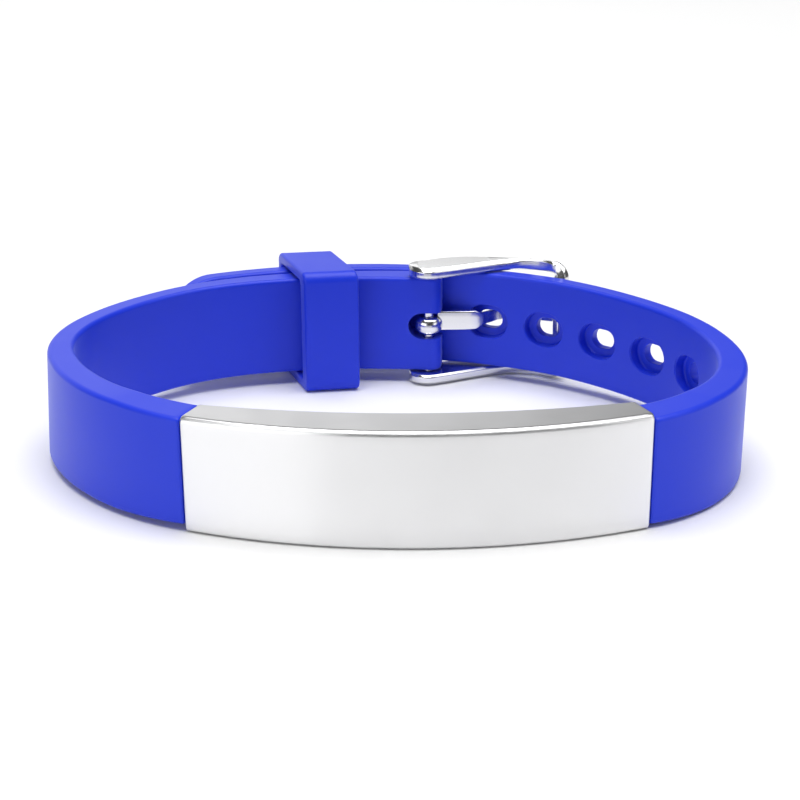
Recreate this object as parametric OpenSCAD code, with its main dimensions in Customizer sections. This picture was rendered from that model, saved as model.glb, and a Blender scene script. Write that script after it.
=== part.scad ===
// Buckled silicone bracelet with a curved steel plate, lying on its edge as a closed ring.
// Millimetres. The ring's axis is Z, the plate faces -Y, and Z = 0 is the surface it rests on.

/* [Placing] */
// Plate's middle, to the right of the ring's middle
plate_x = 2.75; // [0:0.05:4]
// Depth from the plate's front to the ring's middle
front_y = 29.5; // [28:0.1:31]

/* [Plate] */
// Width of the plate across its front
plate_chord = 47.5; // [40:0.5:50]
// Height of the plate
plate_h = 12.6; // [12:0.1:13]
// Radius of the plate's front
plate_r = 62; // [56:1:70]
// Radius of the plate's back
plate_back_r = 85; // [75:1:95]
// Thickness of the plate at its middle
plate_t = 5.6; // [5:0.1:6]
// Rounding of the plate's front edges
plate_edge = 0.6; // [0.3:0.1:0.9]

/* [Straps] */
// Width of both straps
strap_w = 12.3; // [12:0.1:12.3]
// Width of a strap where it meets the plate
strap_end_w = 11.6; // [11:0.1:12]
// Rounding along the edges of the straps
strap_edge = 0.5; // [0.3:0.1:0.6]
// Gap between the plate and a strap
strap_gap = 0.08; // [0.05:0.01:0.15]

/* [Holes] */
// Distance of the buckled hole from the plate, along the strap
hole_at = 66.6; // [66.4:0.1:66.8]
// Distance from one hole to the next
hole_pitch = 8.1; // [7.5:0.1:8.5]
// Number of holes
hole_count = 5; // [3:1:6]
// Length of a hole's recess in the inner face
recess_l = 5.3; // [5:0.1:5.6]
// Height of a hole's recess
recess_h = 4.4; // [4.2:0.1:4.8]
// Depth of a hole's recess
recess_d = 1.3; // [1.1:0.1:1.4]
// Length of the bore behind the recess
bore_l = 3.2; // [3.1:0.1:3.4]
// Height of the bore
bore_h = 2.4; // [2.3:0.1:2.6]

/* [Keeper] */
// Width of the keeper along the strap
keeper_w = 6.8; // [6.2:0.1:7]
// Height of the keeper
keeper_h = 15.6; // [15.6:0.1:16]
// Depth of the keeper from inside to outside
keeper_d = 12.1; // [12:0.1:12.5]
// Wall of the keeper
keeper_wall = 1.35; // [1.2:0.05:1.35]
// Wall of the keeper's inner side, which shows
keeper_front_wall = 2; // [1.7:0.1:2.4]
// Sideways slant of the keeper over its depth
keeper_slant = 2.4; // [2:0.1:2.8]

/* [Buckle] */
// Height of the buckle frame
frame_h = 15.5; // [15.5:0.05:15.7]
// Thickness of the frame's rails
rail_t = 1.45; // [1.2:0.05:1.45]
// Radius of the frame's lugs
lug_r = 2.5; // [2.4:0.05:2.6]
// Diameter of the hidden bar
bar_d = 1.4; // [1.2:0.1:1.4]
// Diameter of the front bar
front_bar_d = 1.9; // [1.6:0.1:1.9]
// Height of the prong where it shows
prong_h = 2.5; // [2.1:0.1:2.5]
// Height of the prong where it passes the bore
prong_tip_h = 1.5; // [1.3:0.1:1.5]

/* [Hidden] */
$fn = 48;
eps = 0.01;

blue = [0.20, 0.24, 0.80];
steel = [0.78, 0.79, 0.80];

plate_half = asin(plate_chord / 2 / plate_r);
plate_end_y = plate_r * (1 - cos(plate_half));

// Arcs of each strap's outer face, from the plate round to its end: [radius, turn in degrees]
long_arcs = [[20.5, 70], [25, 35], [48, 47], [45, 38.8]];
short_arcs = [[30, 48.7], [18, 46], [29.8, 43.4], [53.4, 29.4]];
// Thickness of each strap: [distance from the plate, thickness]
long_thickness = [[0, 4.6], [12, 3.7], [37, 2.5], [110, 2.5]];
short_thickness = [[0, 4.7], [10, 3.8], [29, 2.9], [55, 2.8], [83, 3.7], [90, 3.7]];
// Height of each strap's lower edge: [distance back from the plate's front, height]
long_low = [[0, 0.05], [18, 0.2], [30, 0.6], [50, 1.65], [58, 1.74]];
short_low = [[0, 0.3], [30, 0.85], [45, 1.25], [52, 1.62], [60, 1.74]];
// Lean of the short strap, its foot outwards, as a part of its height: [distance from the plate, lean]
short_lean = [[0, 0], [12, 0.01], [26, 0.055], [38, 0.055], [54, 0.01], [68, 0]];
// Line of the holes' middles: height at the plate's front and rise for each mm back
hole_up = 6.16;
hole_rise = 0.0277;

tip_r = strap_w / 2;
short_end_r = 1.3;
station_step = 2.6;
width_run = 9;

// Tab of the plate inside each strap: [length, thickness, height]
tab = [4.5, 1.6, 7];
tab_depth = 2.2;
tab_gap = 0.12;

// Buckle, measured from its bar's axis, which is given from the plate's middle and front
bar_x = 2.0;
bar_y = 51.5;
prong_z = 7.95;
frame_z = 0.05;
lug_shift = -0.4;
bar_inset = 0.15;
front_bar = [16.8, -0.05];
frame_corner = 2.0;
frame_side_clear = 0.05;
rail_inner = [[0.9, -2.6], [5.5, -0.8], [12.5, 4.4], [15.9, -0.2]];
rail_outer = [[-0.3, 1.9], [3, 4.7], [9.2, 4.3], [17.7, 0.2]];
rail_steps = 14;
lug_clear = 0.1;
eye_r = 1.8;
eye_h = 2.5;
eye_z = 7.5;
tongue_t = 0.8;
tongue_root_t = 1.0;
// Middle line of the prong from its eye to its tip, from the bar's axis
tongue = [[0.4, 0.4], [4.4, 0.42], [5.8, 0.52], [6.8, 0.95], [7.8, 1.8], [8.9, 2.75], [10.2, 3.35], [11.8, 3.25],
    [14.6, 2.45], [16.9, 1.5]];
tongue_shoulder = 6.4;
tongue_shoulder_run = 0.6;
notch_z = 7.6;
notch_h = 3.4;
notch_x = -2.6;

keeper_x = -10.05;
keeper_y = 46.7;
keeper_turn = 8;
keeper_out_r = 1.3;
keeper_in_r = 0.5;

function arc_length(arc) = arc[0] * arc[1] * PI / 180;
function total(list, i = 0) = i == len(list) ? 0 : list[i] + total(list, i + 1);
function chain_length(arcs) = total([for (a = arcs) arc_length(a)]);
function arc_point(p, turn, r, to) = p + r * [sin(to) - sin(turn), cos(turn) - cos(to)];

// Point and heading at distance s along a chain of arcs: [x, y, heading]
function walk(arcs, s, p, turn, i = 0) =
    s <= arc_length(arcs[i]) || i == len(arcs) - 1
        ? let (to = turn + s / arcs[i][0] * 180 / PI, q = arc_point(p, turn, arcs[i][0], to)) [q[0], q[1], to]
        : let (to = turn + arcs[i][1])
            walk(arcs, s - arc_length(arcs[i]), arc_point(p, turn, arcs[i][0], to), to, i + 1);

strap_start = [plate_chord / 2, plate_end_y];
function outer_at(arcs, s) = walk(arcs, s, strap_start, plate_half);
function inward(turn) = [-sin(turn), cos(turn)];

// Rounded rectangle of a strap's section, counter-clockwise, centred on zero
function section(t, h) =
    let (r = min(strap_edge, t / 2 - eps, h / 2 - eps), corners = [[1, 1], [-1, 1], [-1, -1], [1, -1]])
    [for (c = [0:3], a = [0, 45, 90])
        [corners[c][0] * (t / 2 - r) + r * cos(a + 90 * c), corners[c][1] * (h / 2 - r) + r * sin(a + 90 * c)]];
ring_points = 12;

// Stations of a strap: [distance, thickness, height, shift of the middle inwards, lean]
function along(to) = let (n = ceil(to / station_step)) [for (i = [0:n]) strap_gap + (to - strap_gap) * i / n];
function height_at(s) = lookup(s, [[0, strap_end_w], [width_run, strap_w]]);
function long_stations() =
    let (l = chain_length(long_arcs))
    concat(
        [for (s = along(l - tip_r)) [s, lookup(s, long_thickness), height_at(s), 0, 0]],
        [for (a = [12:12:84]) let (s = l - tip_r * (1 - sin(a)))
            [s, lookup(s, long_thickness), 2 * tip_r * cos(a), 0, 0]]);
function short_stations() =
    let (l = chain_length(short_arcs))
    concat(
        [for (s = along(l - short_end_r)) [s, lookup(s, short_thickness), height_at(s), 0, lookup(s, short_lean)]],
        [for (a = [18:18:90]) let (s = l - short_end_r * (1 - sin(a)), t = lookup(s, short_thickness))
            [s, t - 2 * short_end_r * (1 - cos(a)), strap_w, short_end_r * (1 - cos(a)), 0]]);

function station_points(arcs, low, st) =
    let (o = outer_at(arcs, st[0]), n = inward(o[2]), m = lookup(o[1], low) + strap_w / 2)
    [for (q = section(st[1], st[2]))
        let (d = st[3] + st[1] / 2 - q[0] + st[4] * q[1])
        [o[0] + n[0] * d, o[1] + n[1] * d, m + q[1]]];

module swept_strap(arcs, low, stations) {
    n = len(stations);
    k = ring_points;
    points = [for (st = stations) each station_points(arcs, low, st)];
    sides = [for (i = [0:n - 2], j = [0:k - 1])
        let (a = i * k + j, b = i * k + (j + 1) % k) each [[a, a + k, b + k], [a, b + k, b]]];
    start = [for (j = [0:k - 1]) j];
    end = [for (j = [k - 1:-1:0]) (n - 1) * k + j];
    polyhedron(points, concat(sides, [start, end]), convexity = 6);
}

// Children stand in the bracelet's own frame: from the plate's middle and front
module placed() { translate([plate_x, -front_y, 0]) children(); }

// Children on the line of holes at distance s: X runs along the strap's outer face, Y points into the ring
module on_strap(arcs, s) {
    o = outer_at(arcs, s);
    translate([o[0], o[1], hole_up + hole_rise * o[1]]) rotate([0, 0, o[2]]) children();
}

module stadium(l, h) {
    square([l - h, h], center = true);
    for (side = [-1, 1]) translate([side * (l - h) / 2, 0]) circle(d = h);
}

module rounded_square(size, r) {
    square([size[0] - 2 * r, size[1]], center = true);
    square([size[0], size[1] - 2 * r], center = true);
    for (x = [-1, 1], y = [-1, 1]) translate([x * (size[0] / 2 - r), y * (size[1] / 2 - r)]) circle(r);
}

// Tab inside the strap, or its pocket when grown
module plate_tab(grow) {
    translate([0, plate_r, plate_h / 2]) rotate([0, 0, plate_half]) translate([0, -plate_r, 0])
        translate([-1, tab_depth - tab[1] / 2 - grow, -tab[2] / 2 - grow])
            cube([tab[0] + 1 + grow, tab[1] + 2 * grow, tab[2] + 2 * grow]);
}

module plate_profile() {
    depth = plate_t + 4;
    translate([plate_r - depth, 0]) square([depth - plate_edge, plate_h]);
    translate([plate_r - depth, plate_edge]) square([depth, plate_h - 2 * plate_edge]);
    for (z = [plate_edge, plate_h - plate_edge]) translate([plate_r - plate_edge, z]) circle(plate_edge);
}

module id_plate() {
    color(steel) placed() {
        difference() {
            translate([0, plate_r, 0]) rotate([0, 0, -90 - plate_half])
                rotate_extrude(angle = 2 * plate_half, $fn = 360) plate_profile();
            translate([0, plate_t + plate_back_r, -1]) cylinder(r = plate_back_r, h = plate_h + 2, $fn = 360);
        }
        plate_tab(0);
        mirror([1, 0, 0]) plate_tab(0);
    }
}

module hole_cut(s) {
    t = lookup(s, long_thickness);
    on_strap(long_arcs, s) {
        translate([0, t + 1, 0]) rotate([90, 0, 0]) linear_extrude(recess_d + 1) stadium(recess_l, recess_h);
        translate([0, t + 1, 0]) rotate([90, 0, 0]) linear_extrude(t + 2) stadium(bore_l, bore_h);
    }
}

module strap_long() {
    color(blue) placed() difference() {
        swept_strap(long_arcs, long_low, long_stations());
        for (i = [0:hole_count - 1]) hole_cut(hole_at - i * hole_pitch);
        plate_tab(tab_gap);
    }
}

module strap_short() {
    color(blue) placed() difference() {
        mirror([1, 0, 0]) swept_strap(short_arcs, short_low, short_stations());
        mirror([1, 0, 0]) plate_tab(tab_gap);
        translate([bar_x, bar_y, 0]) cylinder(d = bar_d + 2 * lug_clear, h = frame_z + frame_h);
        translate([bar_x + notch_x, bar_y, notch_z]) rotate([90, 0, 0])
            linear_extrude(2 * lug_r + 4, center = true) {
                translate([notch_h / 2, 0]) circle(d = notch_h);
                translate([notch_h / 2, -notch_h / 2]) square([2 * lug_r, notch_h]);
            }
    }
}

module keeper() {
    in_size = [keeper_d - keeper_wall - keeper_front_wall, keeper_h - 2 * keeper_wall];
    color(blue) placed() translate([keeper_x, keeper_y, 0]) rotate([0, 0, keeper_turn]) intersection() {
        translate([-10, keeper_d / 2, keeper_h / 2]) rotate([90, 0, 90]) linear_extrude(20) difference() {
            rounded_square([keeper_d, keeper_h], keeper_out_r);
            translate([(keeper_front_wall - keeper_wall) / 2, 0]) rounded_square(in_size, keeper_in_r);
        }
        translate([0, 0, -1]) linear_extrude(keeper_h + 2)
            polygon([[-keeper_w / 2, 0], [keeper_w / 2, 0], [keeper_w / 2 - keeper_slant, keeper_d],
                [-keeper_w / 2 - keeper_slant, keeper_d]]);
    }
}

// Cubic curve through four control points
function bezier(c, t) =
    pow(1 - t, 3) * c[0] + 3 * t * pow(1 - t, 2) * c[1] + 3 * t * t * (1 - t) * c[2] + pow(t, 3) * c[3];

module rail_plan() {
    polygon(concat(
        [[0, -1]],
        [for (i = [0:rail_steps]) bezier(rail_inner, i / rail_steps)],
        [front_bar],
        [for (i = [rail_steps:-1:0]) bezier(rail_outer, i / rail_steps)]));
    translate([0, lug_shift]) circle(lug_r);
}

module frame_side() {
    far = front_bar[0] + front_bar_d / 2 + frame_side_clear;
    translate([-5, 0]) square([far + 5 - frame_corner, frame_h]);
    translate([-5, frame_corner]) square([far + 5, frame_h - 2 * frame_corner]);
    for (z = [frame_corner, frame_h - frame_corner]) translate([far - frame_corner, z]) circle(frame_corner);
}

// Children with the frame's two far corners rounded off
module corners_rounded() {
    intersection() {
        children();
        translate([0, 10, 0]) rotate([90, 0, 0]) linear_extrude(20) frame_side();
    }
}

module buckle_frame() {
    color(steel) placed() translate([bar_x, bar_y, frame_z]) difference() {
        union() {
            corners_rounded() linear_extrude(rail_t) rail_plan();
            corners_rounded() translate([0, 0, frame_h - rail_t]) linear_extrude(rail_t) rail_plan();
            corners_rounded() translate(front_bar) cylinder(d = front_bar_d, h = frame_h);
        }
        translate([0, 0, -1]) cylinder(d = bar_d + lug_clear, h = frame_h + 2);
    }
}

module buckle_bar() {
    color(steel) placed() translate([bar_x, bar_y, frame_z + bar_inset])
        cylinder(d = bar_d, h = frame_h - 2 * bar_inset);
}

// Unit normal of the prong's middle line at point i
function tongue_normal(i) =
    let (a = tongue[max(i - 1, 0)], b = tongue[min(i + 1, len(tongue) - 1)], d = (b - a) / norm(b - a))
    [-d[1], d[0]];
function tongue_half(i) = (i < 2 ? tongue_root_t : tongue_t) / 2;

module tongue_plan() {
    polygon(concat(
        [for (i = [0:len(tongue) - 1]) tongue[i] - tongue_half(i) * tongue_normal(i)],
        [for (i = [len(tongue) - 1:-1:0]) tongue[i] + tongue_half(i) * tongue_normal(i)]));
}

module tongue_side() {
    far = tongue[len(tongue) - 1][0] + 1;
    polygon([
        [-5, -prong_h / 2], [tongue_shoulder, -prong_h / 2],
        [tongue_shoulder + tongue_shoulder_run, -prong_tip_h / 2], [far, -prong_tip_h / 2],
        [far, prong_tip_h / 2], [tongue_shoulder + tongue_shoulder_run, prong_tip_h / 2],
        [tongue_shoulder, prong_h / 2], [-5, prong_h / 2]]);
}

module prong() {
    color(steel) placed() translate([bar_x, bar_y, 0]) difference() {
        union() {
            translate([0, 0, eye_z - eye_h / 2]) cylinder(r = eye_r, h = eye_h);
            translate([0, 0, prong_z]) intersection() {
                translate([0, 0, -prong_h]) linear_extrude(2 * prong_h) tongue_plan();
                translate([0, 10, 0]) rotate([90, 0, 0]) linear_extrude(20) tongue_side();
            }
        }
        cylinder(d = bar_d + lug_clear, h = frame_h);
    }
}

id_plate();
strap_short();
strap_long();
keeper();
buckle_frame();
buckle_bar();
prong();
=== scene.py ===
"""Looks of the buckled silicone bracelet with a steel plate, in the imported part's frame."""
import math

import bmesh
import bpy
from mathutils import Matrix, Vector


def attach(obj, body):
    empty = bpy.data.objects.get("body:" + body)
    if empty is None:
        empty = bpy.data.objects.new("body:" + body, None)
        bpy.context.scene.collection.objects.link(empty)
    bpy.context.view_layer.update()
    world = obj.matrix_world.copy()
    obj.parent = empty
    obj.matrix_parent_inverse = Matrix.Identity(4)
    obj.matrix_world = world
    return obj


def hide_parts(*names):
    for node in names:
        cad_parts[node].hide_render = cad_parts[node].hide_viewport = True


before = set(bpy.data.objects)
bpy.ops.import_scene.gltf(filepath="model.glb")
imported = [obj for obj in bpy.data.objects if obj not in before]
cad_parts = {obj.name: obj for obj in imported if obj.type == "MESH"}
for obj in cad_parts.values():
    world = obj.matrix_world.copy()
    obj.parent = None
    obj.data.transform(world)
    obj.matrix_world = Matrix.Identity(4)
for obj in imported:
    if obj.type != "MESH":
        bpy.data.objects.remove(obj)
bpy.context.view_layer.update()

# All lengths below are millimetres in the bracelet's own frame: from the plate's middle and front.
MM = 0.001
PLATE_X, FRONT_Y = 2.75, 29.5

# Plate
PLATE_CHORD, PLATE_H, PLATE_R, PLATE_BACK_R, PLATE_T = 47.5, 12.6, 62.0, 85.0, 5.6
PLATE_EDGE, PLATE_BACK_EDGE, PLATE_END_EDGE = 0.6, 0.3, 0.3
PLATE_HALF = math.asin(PLATE_CHORD / 2 / PLATE_R)
# A face of the plate counts as upper or lower from this rise of its normal
EDGE_FACE = 0.7
PLATE_END_Y = PLATE_R * (1 - math.cos(PLATE_HALF))

# Straps: arcs of the outer face as (radius, turn in degrees), thickness as (distance, thickness)
LONG_ARCS = ((20.5, 70), (25, 35), (48, 47), (45, 38.8))
SHORT_ARCS = ((30, 48.7), (18, 46), (29.8, 43.4), (53.4, 29.4))
LONG_THICK = ((0, 4.6), (12, 3.7), (37, 2.5), (110, 2.5))
SHORT_THICK = ((0, 4.7), (10, 3.8), (29, 2.9), (55, 2.8), (83, 3.7), (90, 3.7))
WIDTHS = ((0, 11.6), (9, 12.3))
STRAP_W, STRAP_EDGE, STRAP_GAP, TIP_R, SHORT_END_R = 12.3, 0.5, 0.08, 6.15, 1.3
# Height of each lower edge by the distance back from the plate's front
LONG_LOW = ((0, 0.05), (18, 0.2), (30, 0.6), (50, 1.65), (58, 1.74))
SHORT_LOW = ((0, 0.3), (30, 0.85), (45, 1.25), (52, 1.62), (60, 1.74))
# Lean of the short strap, its foot outwards, by the distance from the plate
SHORT_LEAN = ((0, 0), (12, 0.01), (26, 0.055), (38, 0.055), (54, 0.01), (68, 0))
# Each strap: arcs, side, lower edge, lean
LONG = (LONG_ARCS, 1, LONG_LOW, ((0, 0),))
SHORT = (SHORT_ARCS, -1, SHORT_LOW, SHORT_LEAN)
STEP = 0.6

# Holes
HOLE_AT, HOLE_PITCH, HOLE_COUNT = 66.6, 8.1, 5
RECESS, RECESS_D, BORE = (5.3, 4.4), 1.3, (3.2, 2.4)
# Line of the holes' middles: height at the plate's front and rise for each mm back
HOLE_UP, HOLE_RISE = 6.16, 0.0277

# Keeper
KEEPER_AT, KEEPER_TURN = (-10.05, 46.7), math.radians(8)
KEEPER_W, KEEPER_H, KEEPER_D, KEEPER_SLANT = 6.8, 15.6, 12.1, 2.4
KEEPER_WALL, KEEPER_FRONT, KEEPER_OUT_R, KEEPER_IN_R = 1.35, 2.0, 1.3, 0.5

# Buckle, from the bar's axis
BAR_AT = (2.0, 51.5)
FRAME_Z, FRAME_H, RAIL_T, LUG_R, LUG_SHIFT = 0.05, 15.5, 1.45, 2.5, -0.4
FRONT_BAR, FRONT_BAR_D, FRAME_CORNER = (16.8, -0.05), 1.9, 2.0
RAIL_INNER = ((0.9, -2.6), (5.5, -0.8), (12.5, 4.4), (15.9, -0.2))
RAIL_OUTER = ((-0.3, 1.9), (3, 4.7), (9.2, 4.3), (17.7, 0.2))
RAIL_BEVEL, BAR_BEVEL = 0.5, 0.56
PRONG_Z, PRONG_H, PRONG_TIP_H = 7.95, 2.5, 1.5
EYE_R, EYE_H, EYE_Z, EYE_HOLE_R = 1.8, 2.26, 7.5, 0.75
TONGUE = ((1.2, 0.4), (4.4, 0.42), (5.8, 0.52), (6.8, 0.95), (7.8, 1.8), (8.9, 2.75), (10.2, 3.35),
          (11.8, 3.25), (14.6, 2.45), (16.9, 1.5))
NOTCH_X, NOTCH_Z, NOTCH_H = -2.6, 7.6, 3.4
BAR_HOLE_R = 0.8


def lookup(s, table):
    """Straight-line value at s in a table of (place, value)."""
    if s <= table[0][0]:
        return table[0][1]
    for (a, va), (b, vb) in zip(table, table[1:]):
        if s <= b:
            return va + (vb - va) * (s - a) / (b - a)
    return table[-1][1]


def smooth_lookup(s, table, spread=3.0, taps=7):
    """Lookup averaged over a short stretch, so that the table's corners don't show."""
    return sum(lookup(s + spread * (2 * i / (taps - 1) - 1), table) for i in range(taps)) / taps


def chain_length(arcs):
    return sum(math.radians(turn) * radius for radius, turn in arcs)


def walk(arcs, s):
    """(x, y, heading) at distance s along the outer face of a strap, from the plate's right end."""
    x, y, turn = PLATE_CHORD / 2, PLATE_END_Y, PLATE_HALF
    for i, (radius, sweep) in enumerate(arcs):
        length = math.radians(sweep) * radius
        last = i == len(arcs) - 1
        to = turn + (s / radius if s <= length or last else math.radians(sweep))
        x += radius * (math.sin(to) - math.sin(turn))
        y += radius * (math.cos(turn) - math.cos(to))
        turn = to
        if s <= length:
            break
        s -= length
    return x, y, turn


def section(t, h, r, inset=0.0, corner_steps=5, face_steps=1, side_steps=1):
    """Rounded rectangle of t by h about zero, counter-clockwise, as (across, up)."""
    t, h = t - 2 * inset, h - 2 * inset
    r = max(0.02, min(r, t / 2 - 0.01, h / 2 - 0.01))
    points = []
    for c, (sx, sy) in enumerate(((1, 1), (-1, 1), (-1, -1), (1, -1))):
        turns = [math.pi / 2 * (c + k / corner_steps) for k in range(corner_steps + 1)]
        arc = [(sx * (t / 2 - r) + r * math.cos(a), sy * (h / 2 - r) + r * math.sin(a)) for a in turns]
        points += arc
        nx, ny = ((-1, 1), (-1, -1), (1, -1), (1, 1))[c]
        to = (nx * (t / 2 - r) + (r * nx if c % 2 else 0), ny * (h / 2 - r) + (0 if c % 2 else r * ny))
        steps = face_steps if c % 2 else side_steps
        start = arc[-1]
        points += [(start[0] + (to[0] - start[0]) * k / steps, start[1] + (to[1] - start[1]) * k / steps)
                   for k in range(1, steps)]
    return points


def add_mesh(name, points, faces):
    """A smooth-shaded piece from points in the bracelet's own frame."""
    mesh = bpy.data.meshes.new(name)
    mesh.from_pydata([((x + PLATE_X) * MM, (y - FRONT_Y) * MM, z * MM) for x, y, z in points], [], faces)
    mesh.validate()
    obj = bpy.data.objects.new(name, mesh)
    bpy.context.collection.objects.link(obj)
    bm = bmesh.new()
    bm.from_mesh(mesh)
    bmesh.ops.recalc_face_normals(bm, faces=bm.faces)
    bm.to_mesh(mesh)
    bm.free()
    mesh.shade_smooth()
    return obj


def loft(name, rings, closed=False):
    """Skins rings of equal length. An open loft is capped at both ends."""
    k, n = len(rings[0]), len(rings)
    points = [p for ring in rings for p in ring]
    faces = []
    for i in range(n if closed else n - 1):
        a, b = i * k, (i + 1) % n * k
        faces += [(a + j, a + (j + 1) % k, b + (j + 1) % k, b + j) for j in range(k)]
    if not closed:
        faces += [tuple(range(k)), tuple(range((n - 1) * k, n * k))]
    return add_mesh(name, points, faces)


def spaced(start, end, step):
    n = max(1, math.ceil((end - start) / step))
    return [start + (end - start) * i / n for i in range(n + 1)]


def quarter(steps):
    return [math.pi / 2 * (i + 1) / steps for i in range(steps)]


def cut(obj, cutters):
    """Takes closed cutters out of a piece for good."""
    for cutter in cutters:
        mod = obj.modifiers.new("cut", "BOOLEAN")
        mod.object, mod.operation, mod.solver = cutter, "DIFFERENCE", "EXACT"
    bpy.context.view_layer.update()
    depsgraph = bpy.context.evaluated_depsgraph_get()
    mesh = bpy.data.meshes.new_from_object(obj.evaluated_get(depsgraph))
    obj.modifiers.clear()
    obj.data = mesh
    for cutter in cutters:
        bpy.data.objects.remove(cutter)


def soften(obj, angle=40, weight=True):
    """Smooth shading up to an angle, with the broad faces ruling the normals."""
    obj.data.shade_smooth()
    obj.data.set_sharp_from_angle(angle=math.radians(angle))
    if weight:
        mod = obj.modifiers.new("normals", "WEIGHTED_NORMAL")
        mod.keep_sharp, mod.weight = True, 60


# Straps

def strap_ring(strap, s, t, h, shift, inset=0.0):
    arcs, mirror, low, leans = strap
    x, y, turn = walk(arcs, s)
    nx, ny = -math.sin(turn), math.cos(turn)
    middle, lean = lookup(y, low) + STRAP_W / 2, smooth_lookup(s, leans)
    ring = []
    for across, up in section(t, h, STRAP_EDGE, inset, face_steps=1, side_steps=24):
        d = shift + t / 2 - across + lean * up
        ring.append((mirror * (x + nx * d), y + ny * d, middle + up))
    return ring


def stadium(l, h, steps=12):
    """Points round a slot of length l and height h, counter-clockwise."""
    points = []
    for side in (1, -1):
        for k in range(steps + 1):
            a = math.pi * (k / steps - 0.5) + (0 if side > 0 else math.pi)
            points.append((side * (l - h) / 2 + h / 2 * math.cos(a), h / 2 * math.sin(a)))
    return points


def slot_cutter(name, levels, place):
    """Cutter lofted through (depth, length, height) levels; place gives the point of (along, depth, up)."""
    return loft(name, [[place(u, depth, v) for u, v in stadium(l, h)] for depth, l, h in levels])


def hole_levels(t):
    """Depth, length and height of a hole from the inner face outwards, with every rim rounded."""
    rim, floor_r, bore_rim, steps = 0.12, 0.3, 0.12, 4
    l, h = RECESS
    levels = [(-1.0, l + 2 * rim, h + 2 * rim)]
    for k in range(steps + 1):
        a = math.pi / 2 * k / steps
        grow = 2 * rim * (1 - math.sin(a))
        levels.append((rim * (1 - math.cos(a)), l + grow, h + grow))
    for k in range(steps + 1):
        a = math.pi / 2 * k / steps
        shrink = 2 * floor_r * (1 - math.cos(a))
        levels.append((RECESS_D - floor_r * (1 - math.sin(a)), l - shrink, h - shrink))
    bl, bh = BORE
    for k in range(steps + 1):
        a = math.pi / 2 * k / steps
        grow = 2 * bore_rim * (1 - math.sin(a))
        levels.append((RECESS_D + bore_rim * (1 - math.cos(a)), bl + grow, bh + grow))
    for k in range(steps + 1):
        a = math.pi / 2 * k / steps
        grow = 2 * bore_rim * (1 - math.cos(a))
        levels.append((t - bore_rim * (1 - math.sin(a)), bl + grow, bh + grow))
    levels.append((t + 1, bl + 2 * bore_rim, bh + 2 * bore_rim))
    return levels


def hole_cutter(s):
    t = smooth_lookup(s, LONG_THICK)
    x, y, turn = walk(LONG_ARCS, s)
    middle = HOLE_UP + HOLE_RISE * y
    nx, ny = -math.sin(turn), math.cos(turn)

    def place(u, depth, v):
        d = t - depth
        return x + nx * d + math.cos(turn) * u, y + ny * d + math.sin(turn) * u, middle + v
    return slot_cutter("hole_cutter", hole_levels(t), place)


def strap_long():
    length = chain_length(LONG_ARCS)
    rings = []
    for a in [0.0] + quarter(4):
        s = STRAP_GAP + PLATE_END_EDGE * (1 - math.cos(a))
        inset = PLATE_END_EDGE * (1 - math.sin(a))
        rings.append(strap_ring(LONG, s, smooth_lookup(s, LONG_THICK), lookup(s, WIDTHS), 0, inset))
    for s in spaced(STRAP_GAP + PLATE_END_EDGE, length - TIP_R, STEP)[1:]:
        rings.append(strap_ring(LONG, s, smooth_lookup(s, LONG_THICK), lookup(s, WIDTHS), 0))
    for a in quarter(24)[:-1]:
        s = length - TIP_R * (1 - math.sin(a))
        rings.append(strap_ring(LONG, s, smooth_lookup(s, LONG_THICK), 2 * TIP_R * math.cos(a), 0))
    obj = loft("strap_long_piece", rings)
    cut(obj, [hole_cutter(HOLE_AT - i * HOLE_PITCH) for i in range(HOLE_COUNT)])
    soften(obj)
    return obj


def notch_cutter(inner_y, outer_y):
    """The slot for the prong in the short strap's end, open towards the end."""
    rim, steps, l = 0.15, 4, 16.0
    levels = [(inner_y - 1, rim)]
    for k in range(steps + 1):
        a = math.pi / 2 * k / steps
        levels.append((inner_y + rim * (1 - math.cos(a)), rim * (1 - math.sin(a))))
    levels.append((outer_y + 1.5, 0.0))
    rings = []
    for y, grow in levels:
        rings.append([(BAR_AT[0] + NOTCH_X + l / 2 + u, y, NOTCH_Z + v)
                      for u, v in stadium(l + 2 * grow, NOTCH_H + 2 * grow)])
    return loft("notch_cutter", rings)


def disc(radius, steps=40):
    return [(radius * math.cos(2 * math.pi * k / steps), radius * math.sin(2 * math.pi * k / steps))
            for k in range(steps)]


def strap_short():
    length = chain_length(SHORT_ARCS)
    rings = []
    for a in [0.0] + quarter(4):
        s = STRAP_GAP + PLATE_END_EDGE * (1 - math.cos(a))
        inset = PLATE_END_EDGE * (1 - math.sin(a))
        rings.append(strap_ring(SHORT, s, smooth_lookup(s, SHORT_THICK), lookup(s, WIDTHS), 0, inset))
    for s in spaced(STRAP_GAP + PLATE_END_EDGE, length - SHORT_END_R, STEP)[1:]:
        rings.append(strap_ring(SHORT, s, smooth_lookup(s, SHORT_THICK), lookup(s, WIDTHS), 0))
    for a in quarter(8):
        s = length - SHORT_END_R * (1 - math.sin(a))
        pull = SHORT_END_R * (1 - math.cos(a))
        rings.append(strap_ring(SHORT, s, smooth_lookup(s, SHORT_THICK) - 2 * pull, STRAP_W - pull * 0.3,
                                pull))
    obj = loft("strap_short_piece", rings)
    bar_s = min((abs(-walk(SHORT_ARCS, s)[0] - BAR_AT[0]), s) for s in spaced(60, length, 0.2))[1]
    outer_y = walk(SHORT_ARCS, bar_s)[1]
    inner_y = outer_y - smooth_lookup(bar_s, SHORT_THICK)
    bore = loft("bar_cutter", [[(BAR_AT[0] + u, BAR_AT[1] + v, z) for u, v in disc(BAR_HOLE_R)]
                               for z in (-1.0, FRAME_Z + FRAME_H + 1)])
    cut(obj, [notch_cutter(inner_y, outer_y), bore])
    soften(obj)
    return obj


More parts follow.
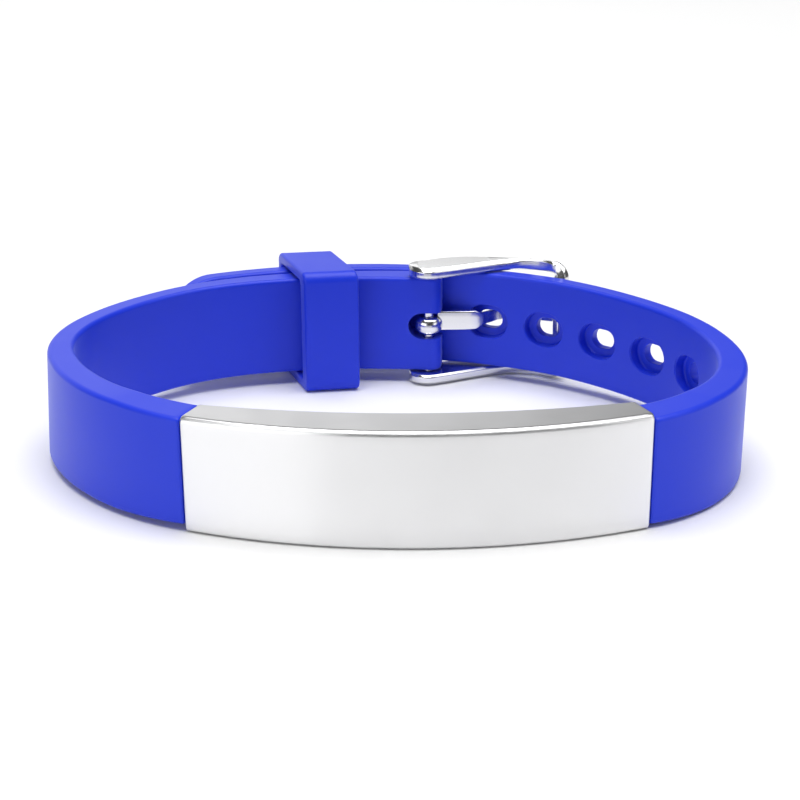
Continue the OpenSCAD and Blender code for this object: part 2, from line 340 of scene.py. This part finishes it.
# Keeper

def rounded_outline(y0, y1, z0, z1, r, steps=8):
    """Rounded rectangle between two corners, as (y, z)."""
    points = []
    for c, (y, z) in enumerate(((y1 - r, z1 - r), (y0 + r, z1 - r), (y0 + r, z0 + r), (y1 - r, z0 + r))):
        turns = [math.pi / 2 * (c + k / steps) for k in range(steps + 1)]
        points += [(y + r * math.cos(a), z + r * math.sin(a)) for a in turns]
    return points


def keeper():
    """Slanted loop, its rings run round the wall from the outside over the rounded ends to the inside."""
    edge, steps = 0.35, 4
    ends = [math.pi / 2 * k / steps for k in range(steps + 1)]

    def outside(inset):
        return rounded_outline(inset, KEEPER_D - inset, inset, KEEPER_H - inset, KEEPER_OUT_R - inset)

    def inside(inset):
        return rounded_outline(KEEPER_FRONT - inset, KEEPER_D - KEEPER_WALL + inset, KEEPER_WALL - inset,
                               KEEPER_H - KEEPER_WALL + inset, KEEPER_IN_R + inset)
    loops = []
    for side in (1, -1):
        outer = [(outside(edge * (1 - math.cos(a))), side, edge * (1 - math.sin(a))) for a in ends]
        inner = [(inside(edge * (1 - math.cos(a))), side, edge * (1 - math.sin(a))) for a in ends]
        loops += outer + inner[::-1] if side > 0 else inner + outer[::-1]
    cos_t, sin_t = math.cos(KEEPER_TURN), math.sin(KEEPER_TURN)
    rings = []
    for outline, side, pull in loops:
        ring = []
        for y, z in outline:
            x = side * (KEEPER_W / 2 - pull) - KEEPER_SLANT * y / KEEPER_D
            ring.append((KEEPER_AT[0] + x * cos_t - y * sin_t, KEEPER_AT[1] + x * sin_t + y * cos_t, z))
        rings.append(ring)
    obj = loft("keeper_piece", rings, closed=True)
    soften(obj, 60)
    return obj


# Plate

def plate_ring(a, inset):
    """Section of the plate at angle a along its front arc."""
    sa, ca = math.sin(a), math.cos(a)
    x_front, y_front = PLATE_R * sa, PLATE_R * (1 - ca)
    back_y = PLATE_T + PLATE_BACK_R
    # Distance along the inward direction (-sa, ca) from the front arc to the back arc
    dx, dy = x_front, y_front - back_y
    b = dx * -sa + dy * ca
    depth = -b - math.sqrt(b * b - (dx * dx + dy * dy - PLATE_BACK_R ** 2))
    ring = []
    for across, up in plate_section(depth, PLATE_H, inset):
        d = depth / 2 - across
        ring.append((x_front - sa * d, y_front + ca * d, PLATE_H / 2 + up))
    return ring


def plate_section(t, h, inset, steps=6, side_steps=16):
    """Front corners are rounder than the back ones."""
    points = []
    half_t, half_h = t / 2 - inset, h / 2 - inset
    corners = ((1, 1, PLATE_EDGE), (-1, 1, PLATE_BACK_EDGE), (-1, -1, PLATE_BACK_EDGE), (1, -1, PLATE_EDGE))
    for c, (sx, sy, r) in enumerate(corners):
        r = max(0.05, r - inset * 0.3)
        for k in range(steps + 1):
            a = math.pi / 2 * (c + k / steps)
            points.append((sx * (half_t - r) + r * math.cos(a), sy * (half_h - r) + r * math.sin(a)))
        if c in (1, 3):
            nxt = corners[(c + 1) % 4]
            x, y = points[-1]
            end_y = nxt[1] * (half_h - nxt[2])
            points += [(x, y + (end_y - y) * k / side_steps) for k in range(1, side_steps)]
    return points


def plate():
    rings = []
    for side in (-1, 1):
        part = []
        for a in [0.0] + quarter(5):
            along = PLATE_END_EDGE * (1 - math.cos(a))
            part.append((side * (PLATE_HALF - along / PLATE_R), PLATE_END_EDGE * (1 - math.sin(a))))
        if side > 0:
            middle = [(-PLATE_HALF + 0.005 + (2 * PLATE_HALF - 0.01) * i / 90, 0.0) for i in range(1, 90)]
            part = middle + part[::-1]
        rings += [plate_ring(a, inset) for a, inset in part]
    obj = loft("plate_piece", rings)
    soften(obj, 50)
    return obj


# Buckle

def bezier(c, t):
    u = 1 - t
    return tuple(u ** 3 * c[0][i] + 3 * t * u * u * c[1][i] + 3 * t * t * u * c[2][i] + t ** 3 * c[3][i]
                 for i in (0, 1))


def curve_y(c, x):
    """y of a cubic at x, for one whose x only grows."""
    lo, hi = 0.0, 1.0
    for _ in range(40):
        mid = (lo + hi) / 2
        if bezier(c, mid)[0] < x:
            lo = mid
        else:
            hi = mid
    return bezier(c, lo)[1]


def smooth_step(t):
    t = max(0.0, min(1.0, t))
    return t * t * (3 - 2 * t)


def rail_sides(x):
    """Inner and outer y of a rail at x, its round lug run smoothly into it."""
    half = math.sqrt(max(0.0, LUG_R ** 2 - x * x))
    inner, outer = LUG_SHIFT - half, LUG_SHIFT + half
    rail_in = curve_y(RAIL_INNER, min(max(x, RAIL_INNER[0][0]), RAIL_INNER[3][0]))
    rail_out = curve_y(RAIL_OUTER, min(max(x, RAIL_OUTER[0][0]), RAIL_OUTER[3][0]))
    if x > 0:
        inner += (rail_in - inner) * smooth_step(x / 1.6)
    outer += (rail_out - outer) * smooth_step((x + 1.2) / 1.6)
    return inner, outer


def frame_section(w, t, top_bevel, low_bevel):
    """Bevelled section of the frame, w across and t thick, its outer surface up, each bevel's ends eased."""
    ease = 0.07
    corners = [(w / 2, 0, low_bevel), (w / 2, t, top_bevel), (-w / 2, t, top_bevel), (-w / 2, 0, low_bevel)]
    flat = []
    for i, (x, z, bevel) in enumerate(corners):
        for tx, tz in (corners[i - 1][:2], corners[(i + 1) % 4][:2]):
            d = math.hypot(tx - x, tz - z)
            flat.append((x + (tx - x) / d * bevel, z + (tz - z) / d * bevel))
    out = []
    n = len(flat)
    for i, p in enumerate(flat):
        a, b = flat[i - 1], flat[(i + 1) % n]
        da, db = math.dist(a, p), math.dist(b, p)
        ea, eb = min(ease, da * 0.4), min(ease, db * 0.4)
        pa = (p[0] + (a[0] - p[0]) / da * ea, p[1] + (a[1] - p[1]) / da * ea)
        pb = (p[0] + (b[0] - p[0]) / db * eb, p[1] + (b[1] - p[1]) / db * eb)
        mid = ((pa[0] + pb[0] + 2 * p[0]) / 4, (pa[1] + pb[1] + 2 * p[1]) / 4)
        out += [pa, mid, pb]
    return out


def frame_path():
    """Stations of half the frame: (x, z, normal x, normal z, inner y, outer y, thickness, bevel)."""
    top, far = FRAME_Z + FRAME_H, FRONT_BAR[0] + FRONT_BAR_D / 2
    straight = far - FRAME_CORNER
    stations = []
    for k in range(1, 21):
        x = -LUG_R * math.cos(math.pi / 2 * k / 20)
        stations.append((x, top, 0, 1, *rail_sides(x), RAIL_T, RAIL_BEVEL))
    for x in spaced(0, straight, 0.25)[1:]:
        stations.append((x, top, 0, 1, *rail_sides(x), RAIL_T, RAIL_BEVEL))
    bar_in, bar_out = FRONT_BAR[1] - FRONT_BAR_D / 2, FRONT_BAR[1] + FRONT_BAR_D / 2
    start_in, start_out = rail_sides(straight)
    for k in range(1, 13):
        a = math.pi / 2 * k / 12
        f = smooth_step(k / 12)
        stations.append((straight + FRAME_CORNER * math.sin(a), top - FRAME_CORNER * (1 - math.cos(a)),
                         math.sin(a), math.cos(a), start_in + (bar_in - start_in) * f,
                         start_out + (bar_out - start_out) * f, RAIL_T + (FRONT_BAR_D - RAIL_T) * f,
                         RAIL_BEVEL + (BAR_BEVEL - RAIL_BEVEL) * f))
    return stations


def frame_ring(station):
    x, z, nx, nz, inner, outer, t, bevel = station
    w, mid = outer - inner, (outer + inner) / 2
    bevel = min(bevel, w * 0.3, t * 0.47)
    low = min(bevel, 0.3 + (BAR_BEVEL - 0.3) * (t - RAIL_T) / (FRONT_BAR_D - RAIL_T))
    return [(BAR_AT[0] + x + nx * (up - t), BAR_AT[1] + mid + across, z + nz * (up - t))
            for across, up in frame_section(w, t, bevel, low)]


def buckle_frame():
    half = frame_path()
    rings = [frame_ring(station) for station in half]
    mirror_z = 2 * FRAME_Z + FRAME_H
    low_bar, high_bar = FRAME_Z + FRAME_CORNER, FRAME_Z + FRAME_H - FRAME_CORNER
    x_bar = half[-1]
    for z in spaced(low_bar, high_bar, 1.5)[1:-1][::-1]:
        rings.append(frame_ring((x_bar[0], z, *x_bar[2:])))
    rings += [[(x, y, mirror_z - z) for x, y, z in ring] for ring in reversed(rings[:len(half)])]
    obj = loft("frame_piece", rings)
    soften(obj, 50)
    return obj


def catmull(points, steps=8):
    """Smooth line through points in the plane."""
    ends = [points[0]] + list(points) + [points[-1]]
    line = []
    for i in range(1, len(ends) - 2):
        p0, p1, p2, p3 = ends[i - 1:i + 3]
        for k in range(steps):
            t = k / steps
            line.append(tuple(0.5 * (2 * p1[j] + (p2[j] - p0[j]) * t
                                     + (2 * p0[j] - 5 * p1[j] + 4 * p2[j] - p3[j]) * t * t
                                     + (3 * p1[j] - p0[j] - 3 * p2[j] + p3[j]) * t ** 3) for j in (0, 1)))
    return line + [tuple(points[-1])]


def prong():
    """The eye round the bar, and the tongue, which passes a hole and ends on the frame's front bar."""
    line = catmull(TONGUE)
    rings = []
    last = len(line) - 1
    for i, (x, y) in enumerate(line):
        ax, ay = line[max(i - 1, 0)]
        bx, by = line[min(i + 1, last)]
        d = math.hypot(bx - ax, by - ay)
        nx, ny = -(by - ay) / d, (bx - ax) / d
        h = PRONG_H + (PRONG_TIP_H - PRONG_H) * smooth_step((x - 5.9) / 1.1)
        t = 1.0 - 0.2 * smooth_step((x - 4) / 3)
        tip = max(0.0, 1 - (last - i) / 5)
        round_off = 1 - math.sqrt(max(0.0, 1 - tip * tip))
        t, h = t * (1 - 0.5 * round_off), h * (1 - 0.6 * round_off)
        rings.append([(BAR_AT[0] + x + nx * across, BAR_AT[1] + y + ny * across, PRONG_Z + up)
                      for across, up in section(t, h, 0.22, corner_steps=4, face_steps=3, side_steps=2)])
    tongue = loft("prong_piece", rings)
    soften(tongue, 50)
    half_h, edge_r, edge_h, arc = EYE_H / 2, 0.9, 1.08, 10
    profile = [(EYE_HOLE_R, -half_h + 0.1), (EYE_HOLE_R + 0.1, -half_h)]
    for side in (-1, 1):
        turns = [math.pi / 2 * k / arc for k in range(arc + 1)]
        for a in turns if side < 0 else turns[::-1]:
            profile.append((EYE_R - edge_r * (1 - math.sin(a)), side * (half_h - edge_h * (1 - math.cos(a)))))
    profile += [(EYE_HOLE_R + 0.1, half_h), (EYE_HOLE_R, half_h - 0.1)]
    steps = 64
    eye = loft("prong_eye_piece", [[(BAR_AT[0] + r * math.cos(2 * math.pi * k / steps),
                                     BAR_AT[1] + r * math.sin(2 * math.pi * k / steps), EYE_Z + z)
                                    for r, z in profile] for k in range(steps)], closed=True)
    soften(eye, 50)
    return tongue, eye


# Materials

def new_material(name, base, **sockets):
    mat = bpy.data.materials.new(name)
    mat.use_nodes = True
    shader = mat.node_tree.nodes["Principled BSDF"]
    shader.inputs["Base Color"].default_value = (*base, 1)
    for key, value in sockets.items():
        shader.inputs[key.replace("_", " ")].default_value = value
    return mat, mat.node_tree, shader


def noise(tree, scale, detail=2.0, stretch=(1, 1, 1)):
    """Noise over the object's own place, in metres."""
    coords = tree.nodes.new("ShaderNodeTexCoord")
    mapping = tree.nodes.new("ShaderNodeMapping")
    mapping.inputs["Scale"].default_value = stretch
    tree.links.new(coords.outputs["Object"], mapping.inputs["Vector"])
    tex = tree.nodes.new("ShaderNodeTexNoise")
    tex.inputs["Scale"].default_value = scale
    tex.inputs["Detail"].default_value = detail
    tree.links.new(mapping.outputs["Vector"], tex.inputs["Vector"])
    return tex


def ranged(tree, source, low, high):
    node = tree.nodes.new("ShaderNodeMapRange")
    node.inputs["To Min"].default_value = low
    node.inputs["To Max"].default_value = high
    tree.links.new(source, node.inputs["Value"])
    return node.outputs["Result"]


def bump(tree, shader, height, strength, distance):
    node = tree.nodes.new("ShaderNodeBump")
    node.inputs["Strength"].default_value = strength
    node.inputs["Distance"].default_value = distance
    tree.links.new(height, node.inputs["Height"])
    tree.links.new(node.outputs["Normal"], shader.inputs["Normal"])


def silicone_material():
    mat, tree, shader = new_material("silicone_blue", (0.0085, 0.037, 0.69), Roughness=0.42)
    shader.inputs["Specular IOR Level"].default_value = 0.35
    shader.inputs["Sheen Weight"].default_value = 0.25
    shader.inputs["Sheen Tint"].default_value = (0.6, 0.68, 1.0, 1)
    shader.inputs["Sheen Roughness"].default_value = 0.35
    grain = noise(tree, 9000, 2)
    cloud = noise(tree, 120, 3)
    tree.links.new(ranged(tree, cloud.outputs["Fac"], 0.36, 0.48), shader.inputs["Roughness"])
    bump(tree, shader, grain.outputs["Fac"], 0.12, 0.00002)
    return mat


def steel_material(name, tone, roughness, stretch):
    """Polished steel; a stretch above 0 draws its reflections out up and down, as fine brushing does."""
    mat, tree, shader = new_material(name, (tone, tone, tone + 0.01), Metallic=1.0, Roughness=roughness)
    smear = noise(tree, 180, 3)
    uneven = ranged(tree, smear.outputs["Fac"], roughness * 0.85, roughness * 1.2)
    tree.links.new(uneven, shader.inputs["Roughness"])
    lines = noise(tree, 4000, 2, (0.04, 0.04, 1))
    bump(tree, shader, lines.outputs["Fac"], 0.05, 0.00001)
    if stretch:
        tangent = tree.nodes.new("ShaderNodeTangent")
        tangent.direction_type, tangent.axis = "RADIAL", "Z"
        tree.links.new(tangent.outputs["Tangent"], shader.inputs["Tangent"])
        shader.inputs["Anisotropic"].default_value = stretch
        shader.inputs["Anisotropic Rotation"].default_value = 0.25
    return mat


# Studio

def add_camera():
    """The photograph's own viewpoint, worked out from the bracelet's edges."""
    data = bpy.data.cameras.new("camera")
    data.lens, data.sensor_width = 72, 36
    data.clip_start, data.clip_end = 0.005, 20
    cam = bpy.data.objects.new("camera", data)
    bpy.context.collection.objects.link(cam)
    pitch, roll = math.radians(20.02), math.radians(-0.344)
    right = Vector((1, 0, 0))
    up = Vector((0, math.sin(pitch), math.cos(pitch)))
    x_axis = math.cos(roll) * right + math.sin(roll) * up
    y_axis = -math.sin(roll) * right + math.cos(roll) * up
    z_axis = x_axis.cross(y_axis)
    matrix = cam.matrix_world.copy()
    for i in range(3):
        matrix[i][0], matrix[i][1], matrix[i][2] = x_axis[i], y_axis[i], z_axis[i]
    matrix[0][3], matrix[1][3], matrix[2][3] = 1.05 * MM, -173.63 * MM, 68.48 * MM
    cam.matrix_world = matrix
    bpy.context.scene.camera = cam


def add_floor():
    mesh = bpy.data.meshes.new("floor")
    size = 3.0
    corners = [(-size, -size, 0), (size, -size, 0), (size, size, 0), (-size, size, 0)]
    mesh.from_pydata(corners, [], [(0, 1, 2, 3)])
    floor = bpy.data.objects.new("floor", mesh)
    bpy.context.collection.objects.link(floor)
    mat, _, _ = new_material("floor_white", (0.95, 0.95, 0.95), Roughness=0.6)
    mesh.materials.append(mat)


def softbox(name, place, target, size, watts):
    data = bpy.data.lights.new(name, "AREA")
    data.shape, data.size, data.size_y, data.energy = "RECTANGLE", size[0], size[1], watts
    light = bpy.data.objects.new(name, data)
    light.location = place
    light.rotation_euler = (Vector(target) - Vector(place)).to_track_quat("-Z", "Y").to_euler()
    bpy.context.collection.objects.link(light)


def math_node(tree, kind, a, b):
    node = tree.nodes.new("ShaderNodeMath")
    node.operation = kind
    for socket, value in zip(node.inputs, (a, b)):
        if isinstance(value, (int, float)):
            socket.default_value = value
        else:
            tree.links.new(value, socket)
    return node.outputs["Value"]


def ramp(tree, source, start, end, low, high):
    node = tree.nodes.new("ShaderNodeMapRange")
    node.interpolation_type = "SMOOTHSTEP"
    for key, value in (("From Min", start), ("From Max", end), ("To Min", low), ("To Max", high)):
        node.inputs[key].default_value = value
    tree.links.new(source, node.inputs["Value"])
    return node.outputs["Result"]


def add_world():
    """A dim room with one soft bright band low behind the bracelet."""
    world = bpy.data.worlds.new("studio")
    world.use_nodes = True
    tree = world.node_tree
    coords = tree.nodes.new("ShaderNodeTexCoord")
    split = tree.nodes.new("ShaderNodeSeparateXYZ")
    tree.links.new(coords.outputs["Generated"], split.inputs["Vector"])
    leftwards = math_node(tree, "MULTIPLY", split.outputs["X"], -0.5)
    behind = ramp(tree, math_node(tree, "ADD", split.outputs["Y"], leftwards), 0.7, 1.05, 0.0, 2.6)
    rise = ramp(tree, split.outputs["Z"], 0.2, 0.36, 0.2, 0.8)
    fall = ramp(tree, split.outputs["Z"], 0.4, 0.52, 1.0, 0.05)
    band = math_node(tree, "MULTIPLY", behind, math_node(tree, "MULTIPLY", rise, fall))
    tree.links.new(math_node(tree, "ADD", band, 0.06), tree.nodes["Background"].inputs["Strength"])
    tree.nodes["Background"].inputs["Color"].default_value = (1, 1, 1, 1)
    bpy.context.scene.world = world


def add_lights():
    """A panel high overhead, one beside and one before it, and two soft boxes at the left and the right."""
    add_world()
    softbox("overhead", (0, 0.15, 2.4), (0, 0.15, 0), (1.9, 1.9), 54)
    softbox("before", (0, -0.85, 2.3), (0, 0, 0), (2.0, 0.6), 8.6)
    softbox("beside", (1.6, -0.3, 2.3), (0, 0, 0), (1.3, 1.2), 11)
    softbox("left", (-0.55, -0.6, 0.25), (0, 0, 0), (0.7, 0.5), 1.9)
    softbox("right", (0.75, -0.4, 0.25), (0, 0, 0), (0.5, 0.5), 0.9)
    bpy.context.scene.view_settings.view_transform = "Standard"


def dress(obj, material, node):
    obj.data.materials.clear()
    obj.data.materials.append(material)
    if node:
        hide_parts(node)
    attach(obj, "root")


def plain_edges_painted_shade(obj, material):
    """The plate's upper and lower faces are plain and get a darker tone, painted shade; only its front and
    back are brushed.
    """
    obj.data.materials.append(material)
    for face in obj.data.polygons:
        if abs(face.normal.z) > EDGE_FACE:
            face.material_index = 1


silicone = silicone_material()
plate_steel = steel_material("plate_steel", 0.8, 0.3, 0.8)
# Same steel as the plate's front, darker for its upper and lower faces: painted shade
plate_edge_steel_painted_shade = steel_material("plate_edge_steel_painted_shade", 0.62, 0.3, 0)
buckle_steel = steel_material("buckle_steel", 0.78, 0.2, 0)

dress(strap_short(), silicone, "strap_short")
dress(strap_long(), silicone, "strap_long")
dress(keeper(), silicone, "keeper")
plate_piece = plate()
dress(plate_piece, plate_steel, "id_plate")
plain_edges_painted_shade(plate_piece, plate_edge_steel_painted_shade)
dress(buckle_frame(), buckle_steel, "buckle_frame")
for prong_piece in prong():
    dress(prong_piece, buckle_steel, "prong")
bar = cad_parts["buckle_bar"]
bar.data.materials.clear()
bar.data.materials.append(buckle_steel)

add_floor()
add_lights()
add_camera()
